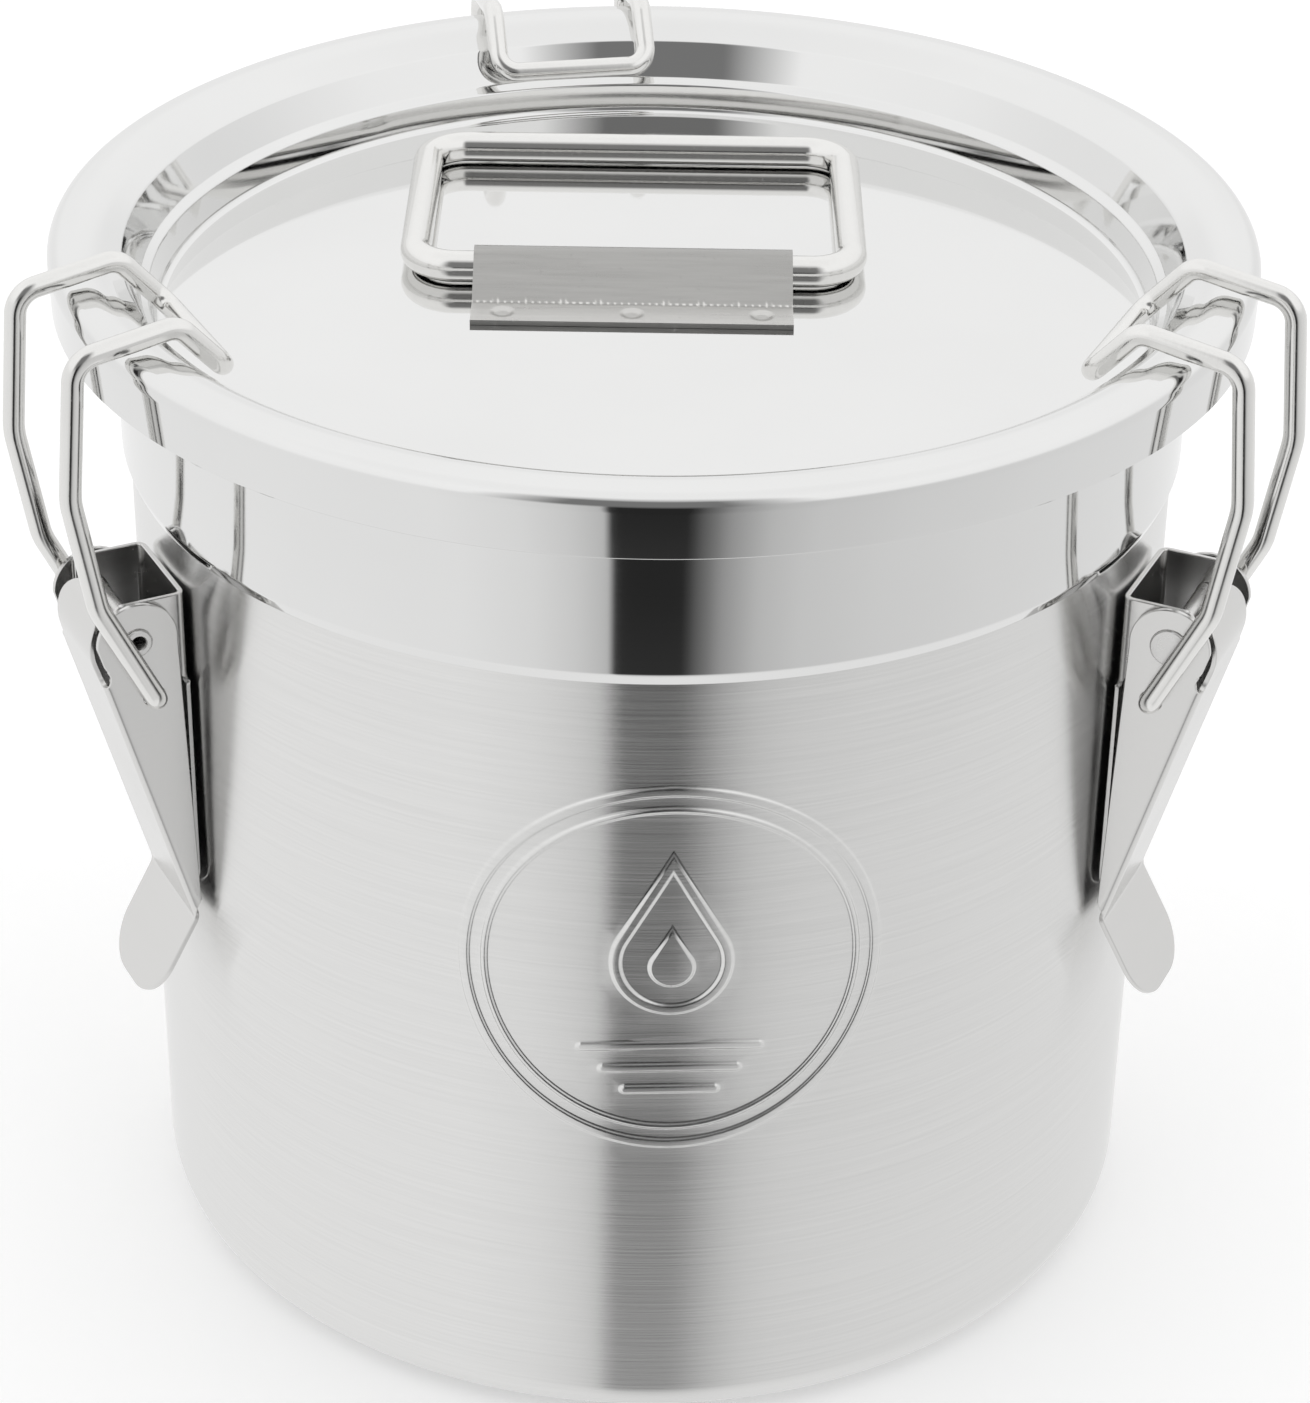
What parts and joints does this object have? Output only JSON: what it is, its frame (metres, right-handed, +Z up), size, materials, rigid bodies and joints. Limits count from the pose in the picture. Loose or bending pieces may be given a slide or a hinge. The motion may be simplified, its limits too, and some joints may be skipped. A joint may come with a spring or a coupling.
{
  "type": "latched stainless milk can",
  "caption": "Squat stainless can for milk with a brushed drum, polished collar and pressed lid, held by over-centre wire-bail latches and lifted by a folding wire handle.",
  "frame": {"origin": "centre of the underside of the base, on the can's axis", "axes": "+Z up along the can's axis; -Y is the front, with the embossed emblem; +X is to the right of someone who looks at the front"},
  "size_m": [0.2373, 0.238, 0.2134],
  "materials": {
    "drum_steel": "brushed round the drum",
    "collar_steel": "polished",
    "lid_steel": "polished",
    "clip_steel": "satin",
    "wire_steel": "polished wire",
    "bracket_steel": "satin",
    "latch_steel": "satin",
    "rivet_steel": "satin",
    "silicone": "matt"
  },
  "bodies": {
    "drum": {"drum_shell": "drum_steel", "mouth_collar": "collar_steel", "left_latch_bracket": "bracket_steel", "left_latch_rivet": "rivet_steel", "right_latch_bracket": "bracket_steel", "right_latch_rivet": "rivet_steel", "back_latch_bracket": "bracket_steel", "back_latch_rivet": "rivet_steel"},
    "lid": {"lid_pan": "lid_steel", "lid_gasket": "silicone", "handle_clip": "clip_steel"},
    "handle": {"lid_handle": "wire_steel"},
    "left_lever": {"left_latch_lever": "latch_steel"},
    "left_bail": {"left_latch_bail": "wire_steel"},
    "right_lever": {"right_latch_lever": "latch_steel"},
    "right_bail": {"right_latch_bail": "wire_steel"},
    "back_lever": {"back_latch_lever": "latch_steel"},
    "back_bail": {"back_latch_bail": "wire_steel"}
  },
  "joints": [
    {"name": "lid_turn", "type": "hinge", "parent": "drum", "child": "lid", "pos_m": [0, 0, 0.2], "axis": [0, 0, 1], "continuous": true},
    {"name": "handle_fold", "type": "hinge", "parent": "lid", "child": "handle", "pos_m": [-0.004, 0.0072, 0.1937], "axis": [1, 0, 0], "range_deg": [0, 175]},
    {"name": "left_lever_swing", "type": "hinge", "parent": "drum", "child": "left_lever", "pos_m": [-0.09837, -0.05012, 0.149], "axis": [-0.454, 0.891, 0], "range_deg": [0, 90]},
    {"name": "left_bail_turn", "type": "hinge", "parent": "left_lever", "child": "left_bail", "pos_m": [-0.09605, -0.04894, 0.137], "axis": [-0.454, 0.891, 0], "range_deg": [-80, 0]},
    {"name": "right_lever_swing", "type": "hinge", "parent": "drum", "child": "right_lever", "pos_m": [0.10046, -0.04578, 0.149], "axis": [-0.4147, -0.91, 0], "range_deg": [0, 90]},
    {"name": "right_bail_turn", "type": "hinge", "parent": "right_lever", "child": "right_bail", "pos_m": [0.09809, -0.0447, 0.137], "axis": [-0.4147, -0.91, 0], "range_deg": [-80, 0]},
    {"name": "back_lever_swing", "type": "hinge", "parent": "drum", "child": "back_lever", "pos_m": [-0.02107, 0.10837, 0.149], "axis": [0.9816, 0.1908, 0], "range_deg": [0, 90]},
    {"name": "back_bail_turn", "type": "hinge", "parent": "back_lever", "child": "back_bail", "pos_m": [-0.02057, 0.10582, 0.137], "axis": [0.9816, 0.1908, 0], "range_deg": [-80, 0]}
  ],
  "couplings": [
    {"joint": "left_bail_turn", "follows": "left_lever_swing", "ratio": -0.84},
    {"joint": "right_bail_turn", "follows": "right_lever_swing", "ratio": -0.84},
    {"joint": "back_bail_turn", "follows": "back_lever_swing", "ratio": -0.84}
  ]
}
